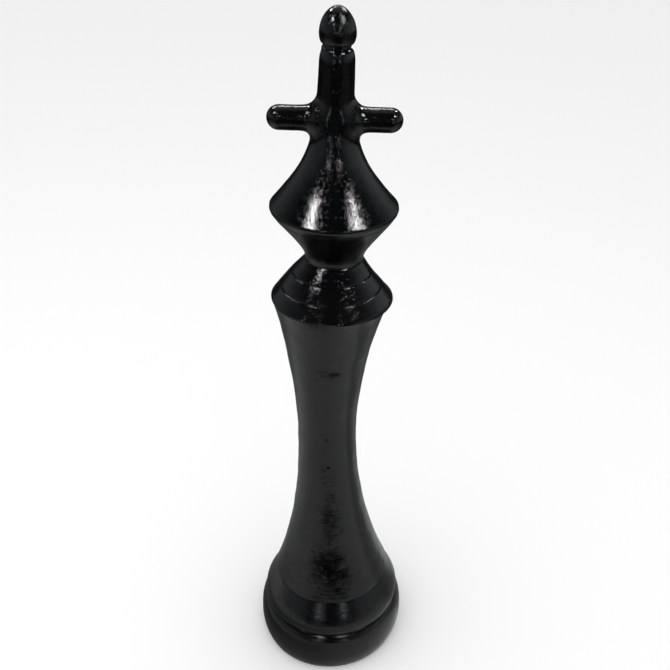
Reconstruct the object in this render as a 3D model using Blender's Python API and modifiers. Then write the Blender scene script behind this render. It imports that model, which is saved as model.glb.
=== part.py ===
"""Giant chess king for a lawn set: hollow fibreglass mouldings on a weighted plywood base.

The plinth, bead, column and collar stack on the base board and one tie rod clamps them together.
The head lifts off: its spigot drops into a socket tube in the collar. Metres, +Z up, origin on
the floor under the middle of the base.
"""
import math

import bmesh
import bpy
from mathutils import Matrix

# ---- driving dimensions ------------------------------------------------------------------------
FIT = 0.0003                    # gap left between pieces that touch or are bonded
WALL = 0.005                    # laminate thickness of the moulded shells
RADIAL_WALL = WALL * 1.1        # the same wall measured level on a leaning side
STEEP_WALL = WALL * 1.3         # and on the slopes of the bell and the cone
TURN_STEPS = 36                 # facets round a large turned piece
KNOB_STEPS = 24                 # facets round the knob
SMALL_STEPS = 16                # facets round a rod, tube or bore
SCREW_STEPS = 8                 # facets round a wood screw

PAD_THICKNESS = 0.004
PAD_INSET = 0.012               # pad edge back from the plinth's foot
BOARD_THICKNESS = 0.024
BASE_RING_THICKNESS = 0.015
BASE_RING_WIDTH = 0.026
BALLAST_HEIGHT = 0.055
BALLAST_SLOPE = 0.015           # slope from the ring's bore in to the part under the bead

PLINTH_RIM_LEVEL = 0.002
PLINTH_RADIUS = 0.139
PLINTH_FOOT_TUCK = 0.0065       # foot in from the widest line
PLINTH_EDGE_TUCK = 0.0024       # upper edge in from the widest line
PLINTH_BELLY_LEVEL = 0.036
PLINTH_EDGE_LEVEL = 0.065
PLINTH_HEIGHT = 0.086
PLINTH_SHOULDER_FALL = 0.002    # how far the shoulder has dropped under its inner part
PLINTH_SHOULDER_BULGE = 0.009   # pull of the shoulder above its lower edge
PLINTH_SHOULDER_REACH = 0.4     # first pull of the shoulder, share of its width
PLINTH_EDGE_LEAN = 0.0018
PLINTH_BELLY_PULL = 0.55        # pull under the widest line, share of its level
PLINTH_GROOVE_WALL = WALL * 0.6 # inner corner of the wall under the groove
PLINTH_FOOT_PULL = 0.005        # roundness of the foot, level and radial pull of its curve
PLINTH_FOOT_LEAN = 0.004
BEAD_UPSTAND_HEIGHT = 0.008     # plinth's upstand inside the bead ring
BEAD_LANDING = 0.0105           # level landing between groove and upstand

BEAD_RADIUS = 0.1289
GROOVE_DEPTH = 0.0064           # groove under the bead, in from its widest line
BEAD_SWELL_HEIGHT = 0.010       # widest level above the plinth
BEAD_EDGE_TUCK = 0.0084         # upper edge of the half-round, in from the widest line
BEAD_EDGE_HEIGHT = 0.035        # where the half-round turns into the slope
BEAD_HEIGHT = 0.064
BEAD_EDGE_LEAN = 0.0045         # pulls of the half-round: near its upper edge,
BEAD_EDGE_PULL = 0.009          # up from its widest line,
BEAD_FOOT_PULL = 0.003          # and in the turn under it
BEAD_FOOT_LEAN = 0.002
BEAD_FOOT_GAP = 0.0005          # half-round ends this far outside the groove
BEAD_FOOT_WALL = WALL * 1.5     # height of the in-turned foot at its outer end

COLUMN_HEIGHT = 0.607
COLUMN_LIP_RADIUS = 0.1066
COLUMN_LIP_HEIGHT = 0.005
COLUMN_LIP_OVERHANG = 0.0021    # lip out past the bead's top
WAIST_RADIUS = 0.0506
WAIST_HEIGHT = 0.342            # waist above the column's foot
COLUMN_TOP_RADIUS = 0.0908
LOWER_FLARE_POWER = 2.15
UPPER_FLARE_POWER = 1.70
RIM_FLARE = 0.0024              # extra flare in the last stretch under the collar
RIM_FLARE_POWER = 12
COLUMN_BOW = 0.0112             # how far the middle leans towards -X
SEAM_STRIP_WIDTH = 0.030
SEAM_STRIP_THICKNESS = 0.003
SEAM_STRIP_SIDE = 0.004         # a strip lies wholly on its side of this distance from the middle

COLLAR_RIM_RADIUS = 0.0950
COLLAR_EDGE = 0.003             # upright edge under the lowest band
COLLAR_BAND_HEIGHT = 0.0204
COLLAR_BAND_RUN = 0.0160        # how far a band leans in over its height
COLLAR_STEP = 0.0024            # riser between two bands
COLLAR_LEDGE = 0.0007
COLLAR_TOP_RISE = 0.0008        # from the last band to the neck
COLLAR_RIM_LEAN = 0.0006        # rim's foot in from its widest line
COLLAR_RIM_WALL = WALL * 1.7    # the leaning wall measured level at the rim,
COLLAR_NECK_WALL = WALL * 0.8   # level at the neck
COLLAR_NECK_DROP = WALL * 2.2   # and down from the neck
COLLAR_BANDS = 3
COLLAR_SKIRT = 0.015            # skirt that enters the column's mouth

NECK_RADIUS = 0.0450
NECK_LANDING = 0.0150           # bearing face between the neck and the socket's bore
SOCKET_WALL = 0.004
SPIGOT_CLEARANCE = 0.0005
SPIGOT_WALL = 0.0035
SPIGOT_DEPTH = 0.086            # how far the head's spigot reaches below the joint
NOTCH_CUT_HEIGHT = 0.040        # tall enough to open a notch upwards
INDEX_PIN_RADIUS = 0.003
INDEX_PIN_DEPTH = 0.006         # pin axis below the joint
NOTCH_CLEARANCE = 0.0005

CONE_HEIGHT = 0.0736
CONE_LIP_PULL = 0.51            # pulls of the cone's hollow side, shares of its height,
CONE_FOOT_PULL = 0.245
CONE_LIP_PULL_OUT = 0.375       # and of its overhang
BELL_RIM_RADIUS = 0.0970
BELL_LIP_TUCK = 0.0066          # lower lip in from the rim
BELL_LIP_HEIGHT = 0.0115
BELL_RIM_EDGE = 0.003           # height of the rim's short upper and lower bevels
BELL_RIM_SHARPNESS = 0.0005     # rim line out past the bell's side
BELL_RIM_UNDERCUT = 0.001
BELL_HEIGHT = 0.119             # shell from its lip to the foot of the upright
CROWN_RADIUS = 0.0263           # upright just above the arms
CROWN_HEIGHT = 0.1794           # that level above the bell's lip
CROWN_PULL = 0.075              # pulls of the curve from the upright out to the bell's rim
CROWN_PULL_OUT = 0.0022
RIM_PULL = 0.058
RIM_PULL_IN = 0.0483
TENON_RADIUS = 0.016
TENON_LENGTH = 0.036
CROWN_BLOCK_HEIGHT = 0.040
BULKHEAD_THICKNESS = 0.015
HEAD_BULKHEAD_DROP = 0.004      # its top under the bell's lip

UPRIGHT_HEIGHT = 0.1241         # from the bell to the groove under the knob
UPRIGHT_TOP_RADIUS = 0.0246
UPRIGHT_SHOULDER_TUCK = 0.0025  # shoulder under the groove, in from the upright's top
UPRIGHT_SHOULDER_DROP = 0.006
UPRIGHT_TOP_DROP = 0.0165       # full radius this far under the groove
KNOB_RADIUS = 0.0257
KNOB_GROOVE_DEPTH = 0.0057      # groove under the knob, in from its widest line
KNOB_NECK_HEIGHT = 0.005
KNOB_SWELL_HEIGHT = 0.014
KNOB_CROWN_HEIGHT = 0.036
KNOB_SQUARENESS = 1.9           # exponents of the egg: how straight its side,
KNOB_BLUNTNESS = 0.56           # how blunt its tip
STUD_RADIUS = 0.004
STUD_LENGTH = 0.036

ARM_LEVEL = 0.0254              # arm axis above the foot of the upright
ARM_REACH = 0.0968              # arm tip from the middle
ARM_RADIUS = 0.0178
ARM_ROOT_RADIUS = 0.0230
ARM_ROOT_REACH = 0.028          # where the root's flare ends, from the middle
ARM_FLARE_LENGTH = 0.022        # straight stretch between the round tip and the flare
ARM_FLARE_PULL = 0.010          # pull of the flare along the arm at its root
ARM_FLARE_LEAN = 0.001
ARM_CORE_REACH = 0.012          # inner end of an arm before it is cut to the upright
ARM_PIN_RADIUS = 0.004
ARM_PIN_REACH = 0.060

ROD_RADIUS = 0.006
ROD_CLEARANCE = 0.001
NUT_FLATS = 0.019
NUT_HEIGHT = 0.0095
WASHER_RADIUS = 0.014
WASHER_THICKNESS = 0.002
NUT_POCKET_CLEARANCE = 0.0015
ROD_STICK_OUT = 0.004
ROD_TO_SPIGOT = 0.004           # air between the rod's tip and the spigot

SCREW_COUNT = 6
SCREW_RADIUS = 0.0022
SCREW_HEAD_RADIUS = 0.0046
SCREW_HEAD_HEIGHT = 0.0026
SCREW_LENGTH = 0.034
SCREW_POINT = 0.003

DRAIN_OFFSET = 0.062            # bung axis behind the tie rod
BUNG_RADIUS = 0.0165
BUNG_FLANGE_RADIUS = 0.0215
BUNG_FLANGE_THICKNESS = 0.003
BUNG_SEAL_THICKNESS = 0.0015
BUNG_LENGTH = 0.017
BUNG_KEY_WIDTH = 0.008
BUNG_KEY_LENGTH = 0.024
BUNG_KEY_DEPTH = 0.002
DRAIN_CLEARANCE = 0.0006
PAD_OPENING_CLEARANCE = 0.002

# ---- radii that follow -------------------------------------------------------------------------
PLINTH_FOOT_RADIUS = PLINTH_RADIUS - PLINTH_FOOT_TUCK
PLINTH_EDGE_RADIUS = PLINTH_RADIUS - PLINTH_EDGE_TUCK
GROOVE_RADIUS = BEAD_RADIUS - GROOVE_DEPTH
UPSTAND_RADIUS = GROOVE_RADIUS - BEAD_LANDING
BEAD_EDGE_RADIUS = BEAD_RADIUS - BEAD_EDGE_TUCK
BEAD_TOP_RADIUS = COLUMN_LIP_RADIUS - COLUMN_LIP_OVERHANG
SOCKET_BORE = NECK_RADIUS - NECK_LANDING
BELL_LIP_RADIUS = BELL_RIM_RADIUS - BELL_LIP_TUCK
KNOB_NECK_RADIUS = KNOB_RADIUS - KNOB_GROOVE_DEPTH
ROD_HOLE_RADIUS = ROD_RADIUS + ROD_CLEARANCE

# ---- levels that follow from the stack ---------------------------------------------------------
BOARD_LEVEL = PAD_THICKNESS + FIT
BOARD_TOP = BOARD_LEVEL + BOARD_THICKNESS
BEAD_LEVEL = PLINTH_HEIGHT + FIT
BEAD_TOP = PLINTH_HEIGHT + BEAD_HEIGHT
COLUMN_LEVEL = BEAD_TOP + FIT
COLUMN_TOP = BEAD_TOP + COLUMN_HEIGHT
COLLAR_LEVEL = COLUMN_TOP + FIT
COLLAR_TOP = COLLAR_LEVEL + COLLAR_EDGE + COLLAR_BANDS * COLLAR_BAND_HEIGHT \
    + (COLLAR_BANDS - 1) * COLLAR_STEP + COLLAR_TOP_RISE
JOINT_LEVEL = COLLAR_TOP + FIT
LIP_LEVEL = JOINT_LEVEL + CONE_HEIGHT + FIT
RIM_LEVEL = LIP_LEVEL + BELL_LIP_HEIGHT
UPRIGHT_LEVEL = LIP_LEVEL + BELL_HEIGHT + FIT
KNOB_LEVEL = UPRIGHT_LEVEL + UPRIGHT_HEIGHT + FIT
ARM_AXIS_LEVEL = UPRIGHT_LEVEL + ARM_LEVEL
PIN_LEVEL = JOINT_LEVEL - INDEX_PIN_DEPTH
SPIGOT_FOOT = JOINT_LEVEL - SPIGOT_DEPTH
ROD_TOP = SPIGOT_FOOT - ROD_TO_SPIGOT
TOP_NUT_LEVEL = ROD_TOP - ROD_STICK_OUT - NUT_HEIGHT
TOP_WASHER_LEVEL = TOP_NUT_LEVEL - FIT - WASHER_THICKNESS
COLLAR_BULKHEAD_LEVEL = TOP_WASHER_LEVEL - FIT - BULKHEAD_THICKNESS
HEAD_BULKHEAD_LEVEL = LIP_LEVEL - HEAD_BULKHEAD_DROP - BULKHEAD_THICKNESS

for item in list(bpy.data.objects):
    bpy.data.objects.remove(item, do_unlink=True)

king = bpy.data.collections.new("giant_chess_king")
cutters = bpy.data.collections.new("cutters")
for group in (king, cutters):
    bpy.context.scene.collection.children.link(group)


# ---- materials ---------------------------------------------------------------------------------
def finish(name, colour, roughness, metallic=0.0):
    """A plain finish: colour, roughness and metallic value on a Principled shader."""
    material = bpy.data.materials.new(name)
    material.use_nodes = True
    shader = material.node_tree.nodes["Principled BSDF"]
    shader.inputs["Base Color"].default_value = (*colour, 1.0)
    shader.inputs["Roughness"].default_value = roughness
    shader.inputs["Metallic"].default_value = metallic
    return material


black_gloss = finish("black_gloss_paint", (0.008, 0.008, 0.009), 0.14)
raw_laminate = finish("raw_glass_fibre", (0.42, 0.45, 0.30), 0.55)
plywood = finish("plywood", (0.55, 0.38, 0.21), 0.70)
rubber = finish("black_rubber", (0.02, 0.02, 0.02), 0.80)
zinc_steel = finish("zinc_plated_steel", (0.66, 0.67, 0.68), 0.32, 1.0)
concrete = finish("cast_concrete", (0.46, 0.45, 0.43), 0.90)
grey_plastic = finish("grey_plastic", (0.25, 0.26, 0.27), 0.45)


# ---- outlines ----------------------------------------------------------------------------------
def bezier(start, pull_start, pull_end, end, steps):
    """Points along a cubic curve from start to end, both included."""
    points = []
    for index in range(steps + 1):
        t = index / steps
        weights = ((1 - t) ** 3, 3 * t * (1 - t) ** 2, 3 * t * t * (1 - t), t ** 3)
        controls = (start, pull_start, pull_end, end)
        points.append(tuple(sum(w * c[axis] for w, c in zip(weights, controls)) for axis in (0, 1)))
    return points


def moved_in(points, distance):
    """The same outline closer to the axis by a distance."""
    return [(radius - distance, level) for radius, level in points]


def radius_at(outline, level):
    """Radius of an outline that runs down from the top, at one level."""
    for (upper_r, upper_z), (lower_r, lower_z) in zip(outline, outline[1:]):
        if lower_z <= level <= upper_z and upper_z > lower_z:
            share = (level - lower_z) / (upper_z - lower_z)
            return lower_r + (upper_r - lower_r) * share
    return outline[-1][0] if level < outline[-1][1] else outline[0][0]


def stretch(outline, upper, lower):
    """The part of an outline between two levels, with a point at each."""
    between = [point for point in outline if lower < point[1] < upper]
    return [(radius_at(outline, upper), upper)] + between + [(radius_at(outline, lower), lower)]


# ---- makers ------------------------------------------------------------------------------------
def add_object(name, mesh, material, group=king):
    """Put a mesh in the scene as one named object; a cutter shows as wire only."""
    if material:
        mesh.materials.append(material)
    made = bpy.data.objects.new(name, mesh)
    group.objects.link(made)
    if group is cutters:
        made.hide_render = True
        made.display_type = "WIRE"
    return made


def turned(name, outline, material, steps=TURN_STEPS, group=king):
    """Turn an outline about Z. It runs down the outer side; off the axis it closes on itself."""
    mesh = bpy.data.meshes.new(name)
    vertices = [(radius, 0.0, level) for radius, level in outline]
    edges = [(index, index + 1) for index in range(len(vertices) - 1)]
    if outline[0][0] > 0.0 or outline[-1][0] > 0.0:
        edges.append((len(vertices) - 1, 0))
    mesh.from_pydata(vertices, edges, [])
    made = add_object(name, mesh, material, group)
    screw = made.modifiers.new("turn", "SCREW")
    screw.axis = "Z"
    screw.steps = screw.render_steps = steps
    screw.use_merge_vertices = True
    screw.merge_threshold = 0.00001
    screw.use_smooth_shade = True
    return made


def disc(name, radius, bottom, top, material, steps=TURN_STEPS, bore=0.0, group=king):
    """A round plate or rod, or with a bore a ring or tube, between two levels."""
    if bore:
        outline = [(bore, top), (radius, top), (radius, bottom), (bore, bottom)]
    else:
        outline = [(0.0, top), (radius, top), (radius, bottom), (0.0, bottom)]
    return turned(name, outline, material, steps, group)


def block_cutter(name, size, centre):
    """A box cutter of a size about a centre."""
    mesh = bpy.data.meshes.new(name)
    shape = bmesh.new()
    bmesh.ops.create_cube(shape, size=1.0)
    bmesh.ops.scale(shape, vec=size, verts=shape.verts)
    shape.to_mesh(mesh)
    shape.free()
    made = add_object(name, mesh, None, cutters)
    made.location = centre
    return made


def bore_cutter(name, radius, bottom, top, place=(0.0, 0.0), steps=SMALL_STEPS):
    """An upright round cutter at a place on the plan."""
    made = disc(name, radius, bottom, top, None, steps, group=cutters)
    made.location = (place[0], place[1], 0.0)
    return made


def cut(target, tool, operation="DIFFERENCE"):
    """Cut a target with a tool, or keep only what they share."""
    change = target.modifiers.new(tool.name, "BOOLEAN")
    change.operation = operation
    change.solver = "EXACT"
    change.object = tool


def hang_on(parent, *pieces):
    """Parent pieces to an empty and leave them where they are."""
    for piece in pieces:
        piece.parent = parent
        piece.matrix_parent_inverse = Matrix.Translation(-parent.location)


def joint_empty(name, location):
    """An empty on a joint's axis."""
    empty = bpy.data.objects.new(name, None)
    empty.location = location
    king.objects.link(empty)
    return empty


def hex_nut(name, bottom, place=(0.0, 0.0)):
    """A hexagon nut with a plain bore round the rod."""
    corner = NUT_FLATS / math.sqrt(3.0)
    nut = disc(name, corner, bottom, bottom + NUT_HEIGHT, zinc_steel, 6)
    cut(nut, bore_cutter(name + "_bore", ROD_RADIUS + FIT, bottom - WALL, bottom + NUT_HEIGHT + WALL))
    nut.location = (place[0], place[1], 0.0)
    return nut


# ---- plinth: shell with an upstand that the bead ring sits over ---------------------------------
plinth_shoulder = bezier(
    (GROOVE_RADIUS, PLINTH_HEIGHT),
    (GROOVE_RADIUS + PLINTH_SHOULDER_REACH * (PLINTH_EDGE_RADIUS - GROOVE_RADIUS),
     PLINTH_HEIGHT - PLINTH_SHOULDER_FALL),
    (PLINTH_EDGE_RADIUS - PLINTH_EDGE_LEAN, PLINTH_EDGE_LEVEL + PLINTH_SHOULDER_BULGE),
    (PLINTH_EDGE_RADIUS, PLINTH_EDGE_LEVEL), 4)
plinth_side = [(PLINTH_EDGE_RADIUS, PLINTH_EDGE_LEVEL)] + bezier(
    (PLINTH_RADIUS, PLINTH_BELLY_LEVEL),
    (PLINTH_RADIUS, PLINTH_BELLY_LEVEL * PLINTH_BELLY_PULL),
    (PLINTH_RADIUS - PLINTH_FOOT_LEAN, PLINTH_RIM_LEVEL + PLINTH_FOOT_PULL),
    (PLINTH_FOOT_RADIUS, PLINTH_RIM_LEVEL), 4)
plinth_inside = list(reversed(moved_in(plinth_side, RADIAL_WALL)))
turned("plinth_shell",
       [(UPSTAND_RADIUS, PLINTH_HEIGHT + BEAD_UPSTAND_HEIGHT), (UPSTAND_RADIUS, PLINTH_HEIGHT)]
       + plinth_shoulder + plinth_side[1:] + plinth_inside
       + [(GROOVE_RADIUS - PLINTH_GROOVE_WALL, PLINTH_HEIGHT - WALL),
          (UPSTAND_RADIUS - WALL, PLINTH_HEIGHT - WALL),
          (UPSTAND_RADIUS - WALL, PLINTH_HEIGHT + BEAD_UPSTAND_HEIGHT)],
       black_gloss)

# ---- bead ring: half-round below, slope above, in-turned foot round the plinth's upstand --------
BEAD_SWELL = BEAD_LEVEL + BEAD_SWELL_HEIGHT
BEAD_EDGE = BEAD_LEVEL + BEAD_EDGE_HEIGHT
bead_outside = [(BEAD_TOP_RADIUS, BEAD_TOP)] + bezier(
    (BEAD_EDGE_RADIUS, BEAD_EDGE),
    (BEAD_EDGE_RADIUS + BEAD_EDGE_LEAN, BEAD_EDGE - BEAD_EDGE_PULL),
    (BEAD_RADIUS, BEAD_SWELL + BEAD_EDGE_PULL),
    (BEAD_RADIUS, BEAD_SWELL), 4) + bezier(
    (BEAD_RADIUS, BEAD_SWELL),
    (BEAD_RADIUS, BEAD_LEVEL + BEAD_FOOT_PULL),
    (BEAD_RADIUS - BEAD_FOOT_LEAN, BEAD_LEVEL),
    (GROOVE_RADIUS + BEAD_FOOT_GAP, BEAD_LEVEL), 3)[1:]
BEAD_BORE = UPSTAND_RADIUS + FIT
turned("bead_ring",
       bead_outside
       + [(BEAD_BORE, BEAD_LEVEL), (BEAD_BORE, BEAD_LEVEL + WALL),
          (BEAD_RADIUS - RADIAL_WALL, BEAD_LEVEL + BEAD_FOOT_WALL),
          (BEAD_RADIUS - RADIAL_WALL, BEAD_SWELL + WALL),
          (BEAD_EDGE_RADIUS - RADIAL_WALL, BEAD_EDGE),
          (BEAD_TOP_RADIUS - RADIAL_WALL, BEAD_TOP)],
       black_gloss)

# ---- column: two half mouldings with a strip behind each seam, bowed as it came from the mould --
COLUMN_LIP_LEVEL = COLUMN_LEVEL + COLUMN_LIP_HEIGHT
WAIST_LEVEL = COLUMN_LEVEL + WAIST_HEIGHT


def column_radius(level):
    """Outer radius of the column: a waist with a power-law flare each way."""
    if level > WAIST_LEVEL:
        rise = (level - WAIST_LEVEL) / (COLUMN_TOP - WAIST_LEVEL)
        return WAIST_RADIUS + (COLUMN_TOP_RADIUS - WAIST_RADIUS) * rise ** UPPER_FLARE_POWER \
            + RIM_FLARE * rise ** RIM_FLARE_POWER
    drop = min(1.0, (WAIST_LEVEL - level) / (WAIST_LEVEL - COLUMN_LIP_LEVEL))
    return WAIST_RADIUS + (COLUMN_LIP_RADIUS - WAIST_RADIUS) * drop ** LOWER_FLARE_POWER


def column_bow(level):
    """Sideways shift of the column's centre line at a level, nothing at either end."""
    rise = min(1.0, max(0.0, (level - COLUMN_LEVEL) / (COLUMN_TOP - COLUMN_LEVEL)))
    return -COLUMN_BOW * math.sin(math.pi * rise)


def bowed(made):
    """Turn an object's modifiers into mesh and shift each level along the column's bow."""
    graph = bpy.context.evaluated_depsgraph_get()
    mesh = bpy.data.meshes.new_from_object(made.evaluated_get(graph))
    for vertex in mesh.vertices:
        vertex.co.x += column_bow(vertex.co.z)
    mesh.name = made.name
    made.modifiers.clear()
    made.data = mesh
    return made


COLUMN_RINGS = 11
column_levels = [COLUMN_TOP - (COLUMN_TOP - COLUMN_LIP_LEVEL) * step / COLUMN_RINGS
                 for step in range(COLUMN_RINGS + 1)]
column_outside = [(column_radius(level), level) for level in column_levels]
column_outside.append((BEAD_TOP_RADIUS, COLUMN_LEVEL))
column_inside = moved_in(column_outside, RADIAL_WALL)
column_loop = column_outside + list(reversed(column_inside))
TALL = COLUMN_TOP - COLUMN_LEVEL
for side, name in ((1, "column_rear"), (-1, "column_front")):
    half = bowed(turned(name, column_loop, black_gloss))
    reach = PLINTH_RADIUS * 2
    keep = block_cutter(name + "_half", (reach * 2, reach, TALL * 1.2),
                        (0.0, side * (reach / 2 + FIT / 2), COLUMN_LEVEL + TALL / 2))
    cut(half, keep, "INTERSECT")

strip_outside = moved_in(stretch(column_inside, COLLAR_BULKHEAD_LEVEL - FIT,
                                 BEAD_TOP + BULKHEAD_THICKNESS), FIT)
strip_loop = strip_outside + list(reversed(moved_in(strip_outside, SEAM_STRIP_THICKNESS)))
for side, name in ((1, "seam_strip_right"), (-1, "seam_strip_left")):
    strip = bowed(turned(name, strip_loop, raw_laminate))
    reach = PLINTH_RADIUS
    keep = block_cutter(name + "_band", (reach, SEAM_STRIP_WIDTH, TALL * 1.2),
                        (side * (reach / 2 + SEAM_STRIP_SIDE), 0.0, COLUMN_LEVEL + TALL / 2))
    cut(strip, keep, "INTERSECT")

# ---- foot disc: plywood plate that keys the column to the bead ring -----------------------------
FOOT_DISC_BOTTOM = BEAD_TOP - BULKHEAD_THICKNESS / 2
FOOT_DISC_TOP = BEAD_TOP + BULKHEAD_THICKNESS / 2
foot_disc_radius = min(radius_at(column_inside, FOOT_DISC_TOP) - abs(column_bow(FOOT_DISC_TOP)),
                       BEAD_TOP_RADIUS - RADIAL_WALL) - 2 * FIT
disc("foot_disc", foot_disc_radius, FOOT_DISC_BOTTOM, FOOT_DISC_TOP, plywood, bore=ROD_HOLE_RADIUS)

# ---- collar: stepped moulding whose skirt enters the column's mouth -----------------------------
skirt_radius = radius_at(column_inside, COLUMN_TOP - COLLAR_SKIRT) \
    - abs(column_bow(COLUMN_TOP - COLLAR_SKIRT)) - 2 * FIT
collar_outside = []
band_foot_radius = COLLAR_RIM_RADIUS
band_foot_level = COLLAR_LEVEL + COLLAR_EDGE
for band in range(COLLAR_BANDS):
    band_top = (band_foot_radius - COLLAR_BAND_RUN, band_foot_level + COLLAR_BAND_HEIGHT)
    collar_outside += [(band_foot_radius, band_foot_level), band_top]
    band_foot_radius = band_top[0] - COLLAR_LEDGE
    band_foot_level = band_top[1] + COLLAR_STEP
    if band < COLLAR_BANDS - 1:
        collar_outside.append((band_foot_radius, band_top[1]))
collar_outside.append((NECK_RADIUS, COLLAR_TOP))
SOCKET_RADIUS = SOCKET_BORE + SOCKET_WALL
collar_mouth = SOCKET_RADIUS + 2 * FIT
turned("collar_shell",
       [(collar_mouth, COLLAR_TOP)] + list(reversed(collar_outside))
       + [(COLLAR_RIM_RADIUS - COLLAR_RIM_LEAN, COLLAR_LEVEL), (skirt_radius, COLLAR_LEVEL),
          (skirt_radius, COLUMN_TOP - COLLAR_SKIRT),
          (skirt_radius - WALL, COLUMN_TOP - COLLAR_SKIRT),
          (skirt_radius - WALL, COLLAR_LEVEL),
          (COLLAR_RIM_RADIUS - COLLAR_RIM_WALL, COLLAR_LEVEL + WALL),
          (NECK_RADIUS - COLLAR_NECK_WALL, COLLAR_TOP - COLLAR_NECK_DROP),
          (NECK_RADIUS - COLLAR_NECK_WALL, COLLAR_TOP - WALL),
          (collar_mouth, COLLAR_TOP - WALL)],
       black_gloss)

collar_bulkhead_radius = radius_at(column_inside, COLLAR_BULKHEAD_LEVEL) \
    - abs(column_bow(COLLAR_BULKHEAD_LEVEL)) - 2 * FIT
disc("collar_bulkhead", collar_bulkhead_radius, COLLAR_BULKHEAD_LEVEL,
     COLLAR_BULKHEAD_LEVEL + BULKHEAD_THICKNESS, plywood, bore=ROD_HOLE_RADIUS)

# ---- socket tube: stands on the bulkhead, notched at the top for the index pin ------------------
socket = disc("socket_tube", SOCKET_RADIUS, COLLAR_BULKHEAD_LEVEL + BULKHEAD_THICKNESS + FIT,
              COLLAR_TOP, grey_plastic, bore=SOCKET_BORE)
notch_width = 2 * (INDEX_PIN_RADIUS + NOTCH_CLEARANCE)
notch_floor = PIN_LEVEL - INDEX_PIN_RADIUS - NOTCH_CLEARANCE
cut(socket, block_cutter("socket_notch", (4 * SOCKET_RADIUS, notch_width, NOTCH_CUT_HEIGHT),
                         (0.0, 0.0, notch_floor + NOTCH_CUT_HEIGHT / 2)))

# ---- base: board, bonded ring, ballast and pad --------------------------------------------------
plinth_bore = PLINTH_FOOT_RADIUS - RADIAL_WALL - FIT
board = disc("base_board", plinth_bore, BOARD_LEVEL, BOARD_TOP, plywood)
RING_LEVEL = BOARD_TOP + FIT
RING_TOP = RING_LEVEL + BASE_RING_THICKNESS
ring_bore = plinth_bore - BASE_RING_WIDTH
ring = disc("base_ring", plinth_bore, RING_LEVEL, RING_TOP, plywood, bore=ring_bore)
ballast_foot_radius = ring_bore - 2 * FIT
ballast_top_radius = min(ballast_foot_radius, UPSTAND_RADIUS - WALL - 2 * FIT)
ballast_top = RING_LEVEL + BALLAST_HEIGHT
ballast = turned("ballast_disc",
                 [(ROD_HOLE_RADIUS, ballast_top), (ballast_top_radius, ballast_top),
                  (ballast_top_radius, RING_TOP + BALLAST_SLOPE), (ballast_foot_radius, RING_TOP),
                  (ballast_foot_radius, RING_LEVEL), (ROD_HOLE_RADIUS, RING_LEVEL)], concrete)
pad = disc("base_pad", PLINTH_FOOT_RADIUS - PAD_INSET, 0.0, PAD_THICKNESS, rubber)

pocket_radius = WASHER_RADIUS + NUT_POCKET_CLEARANCE
pocket_top = BOARD_LEVEL + NUT_HEIGHT + WASHER_THICKNESS + 3 * FIT
cut(board, bore_cutter("nut_pocket", pocket_radius, -WALL, pocket_top))
cut(board, bore_cutter("board_rod_hole", ROD_HOLE_RADIUS, -WALL, BOARD_TOP + WALL))

# ---- tie rod with a nut and washer at each end --------------------------------------------------
ROD_FOOT = BOARD_LEVEL + FIT
disc("tie_rod", ROD_RADIUS, ROD_FOOT, ROD_TOP, zinc_steel, SMALL_STEPS)
hex_nut("tie_nut_lower", BOARD_LEVEL + FIT)
lower_washer = BOARD_LEVEL + NUT_HEIGHT + 2 * FIT
disc("tie_washer_lower", WASHER_RADIUS, lower_washer, lower_washer + WASHER_THICKNESS, zinc_steel,
     SMALL_STEPS, bore=ROD_RADIUS + FIT)
hex_nut("tie_nut_upper", TOP_NUT_LEVEL)
disc("tie_washer_upper", WASHER_RADIUS, TOP_WASHER_LEVEL, TOP_WASHER_LEVEL + WASHER_THICKNESS,
     zinc_steel, SMALL_STEPS, bore=ROD_RADIUS + FIT)

# ---- base screws: up through the board into the bonded ring -------------------------------------
screw_circle = plinth_bore - BASE_RING_WIDTH / 2
screw_head = BOARD_LEVEL + FIT
head_top = screw_head + SCREW_HEAD_HEIGHT
screw_tip = screw_head + SCREW_LENGTH
for index in range(SCREW_COUNT):
    angle = 2 * math.pi * (index + 0.5) / SCREW_COUNT
    place = (screw_circle * math.cos(angle), screw_circle * math.sin(angle))
    name = "base_screw_%d" % (index + 1)
    screw = turned(name, [(0.0, screw_tip), (SCREW_RADIUS, screw_tip - SCREW_POINT),
                          (SCREW_RADIUS, head_top), (SCREW_HEAD_RADIUS, screw_head),
                          (0.0, screw_head)], zinc_steel, SCREW_STEPS)
    screw.location = (place[0], place[1], 0.0)
    hole = turned(name + "_hole", [(0.0, screw_tip + 2 * FIT), (SCREW_RADIUS + FIT, screw_tip + 2 * FIT),
                                   (SCREW_RADIUS + FIT, head_top + FIT),
                                   (SCREW_HEAD_RADIUS + 2 * FIT, screw_head),
                                   (SCREW_HEAD_RADIUS + 2 * FIT, -WALL), (0.0, -WALL)],
                  None, SCREW_STEPS, cutters)
    hole.location = screw.location
    cut(board, hole)
    cut(ring, hole)

# ---- drain bung: screws up into the board behind the tie rod, through a hole in the pad ----------
drain = (0.0, DRAIN_OFFSET)
flange_bottom = BOARD_LEVEL + FIT
flange_top = flange_bottom + BUNG_FLANGE_THICKNESS
seal_top = flange_top + FIT + BUNG_SEAL_THICKNESS
bung_top = flange_bottom + BUNG_LENGTH
passage = BUNG_RADIUS + DRAIN_CLEARANCE
cut(board, bore_cutter("flange_pocket", BUNG_FLANGE_RADIUS + DRAIN_CLEARANCE, -WALL, seal_top + FIT,
                       drain))
cut(board, bore_cutter("drain_hole", passage, -WALL, BOARD_TOP + WALL, drain))
cut(ballast, bore_cutter("drain_passage", passage, 0.0, BOARD_TOP + BALLAST_HEIGHT + WALL, drain))
cut(pad, bore_cutter("pad_opening", BUNG_FLANGE_RADIUS + PAD_OPENING_CLEARANCE, -WALL,
                     PAD_THICKNESS + WALL, drain))
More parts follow.
